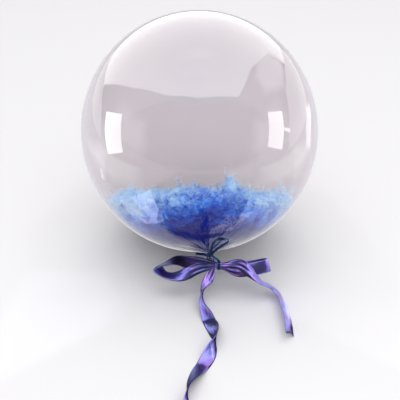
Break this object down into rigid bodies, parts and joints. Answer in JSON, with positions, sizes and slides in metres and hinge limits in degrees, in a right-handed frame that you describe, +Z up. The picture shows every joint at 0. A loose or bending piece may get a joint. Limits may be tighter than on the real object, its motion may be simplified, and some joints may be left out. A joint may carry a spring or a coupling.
{
  "type": "clear bubble balloon",
  "caption": "Clear round bubble balloon with feathers inside, lying at rest, its gathered neck tied with thin ribbon and a satin bow with two long tails.",
  "frame": {"origin": "centre of the small flat spot that the balloon lies on, on the floor", "axes": "+Z up; the neck, bow and tails point to -Y and the crown leans to +Y; +X is to the right of someone who faces the bow"},
  "size_m": [0.4498, 0.8022, 0.4521],
  "materials": {
    "clear_film": "clear glossy film",
    "navy_satin": "satin",
    "thin_ribbon": "metallic gloss"
  },
  "bodies": {
    "root": {"film": "clear_film", "satin_bow": "navy_satin", "neck_tie": "thin_ribbon"}
  },
  "joints": []
}
